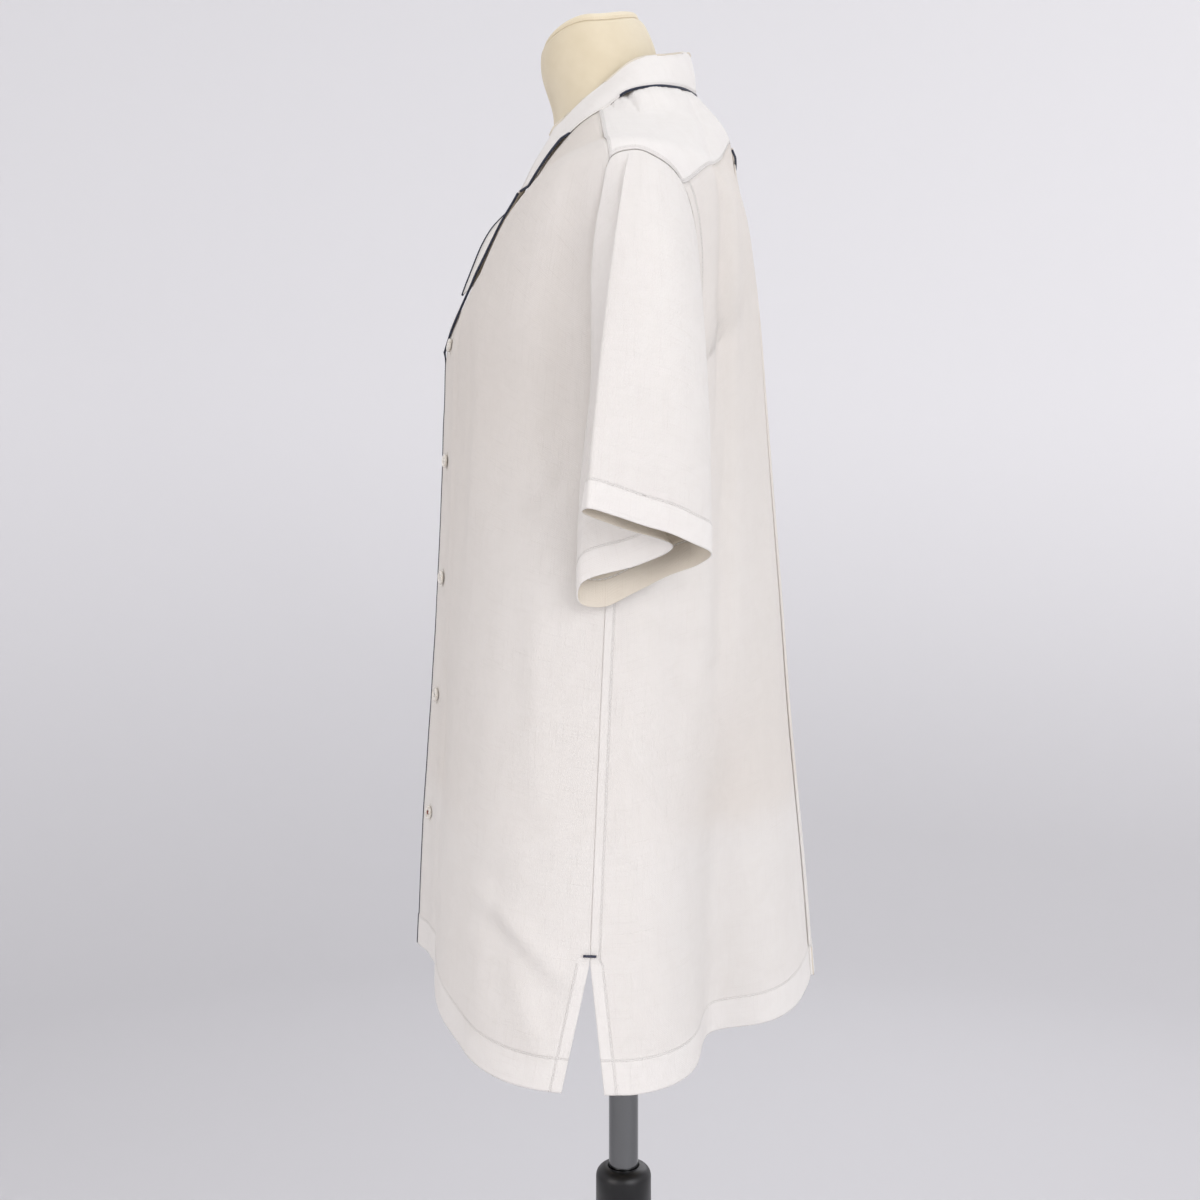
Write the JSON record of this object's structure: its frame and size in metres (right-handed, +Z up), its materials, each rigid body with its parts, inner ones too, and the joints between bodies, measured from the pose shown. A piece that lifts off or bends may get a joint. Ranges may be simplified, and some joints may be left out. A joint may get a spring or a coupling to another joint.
{
  "type": "camp-collar linen shirt on a dress form with stand",
  "caption": "Boxy short-sleeve shirt in plain linen with an open camp collar, navy piping, side vents and a back box pleat, worn by a limbless dress form on a telescoping round-based stand.",
  "frame": {"origin": "on the floor, under the axis of the pole, in the underside of the base", "axes": "+Z up along the pole; the wearer faces -Y and the wearer's left is +X"},
  "size_m": [0.602, 0.4, 1.5987],
  "materials": {
    "linen": "plain-woven white linen, matt and slightly see-through",
    "piping": "navy twill piping, matt",
    "shell": "polished mother-of-pearl look",
    "jersey": "cream cotton jersey stretched over a hard form",
    "chrome": "polished chrome tube",
    "black_plastic": "satin black moulded plastic",
    "black_paint": "satin black powder coat on steel"
  },
  "bodies": {
    "stand": {"base": "black_paint", "stand_tube": "black_paint", "clamp_collar": "black_plastic"},
    "pole": {"pole": "chrome"},
    "figure": {"left_front": "linen", "right_front": "linen", "back": "linen", "yoke": "linen", "collar": "linen", "left_lapel": "linen", "right_lapel": "linen", "left_sleeve": "linen", "right_sleeve": "linen", "collar_piping": "piping", "left_front_piping": "piping", "right_front_piping": "piping", "right_lapel_piping": "piping", "hanger_loop": "piping", "button_1": "shell", "button_2": "shell", "button_3": "shell", "button_4": "shell", "button_5": "shell", "bust": "jersey", "neck_cap": "jersey"}
  },
  "joints": [
    {"name": "height", "type": "slide", "parent": "stand", "child": "pole", "axis": [0, 0, 1], "range_m": [-0.13, 0.15]},
    {"name": "turn", "type": "hinge", "parent": "pole", "child": "figure", "pos_m": [0, 0, 0.935], "axis": [0, 0, 1], "continuous": true}
  ]
}
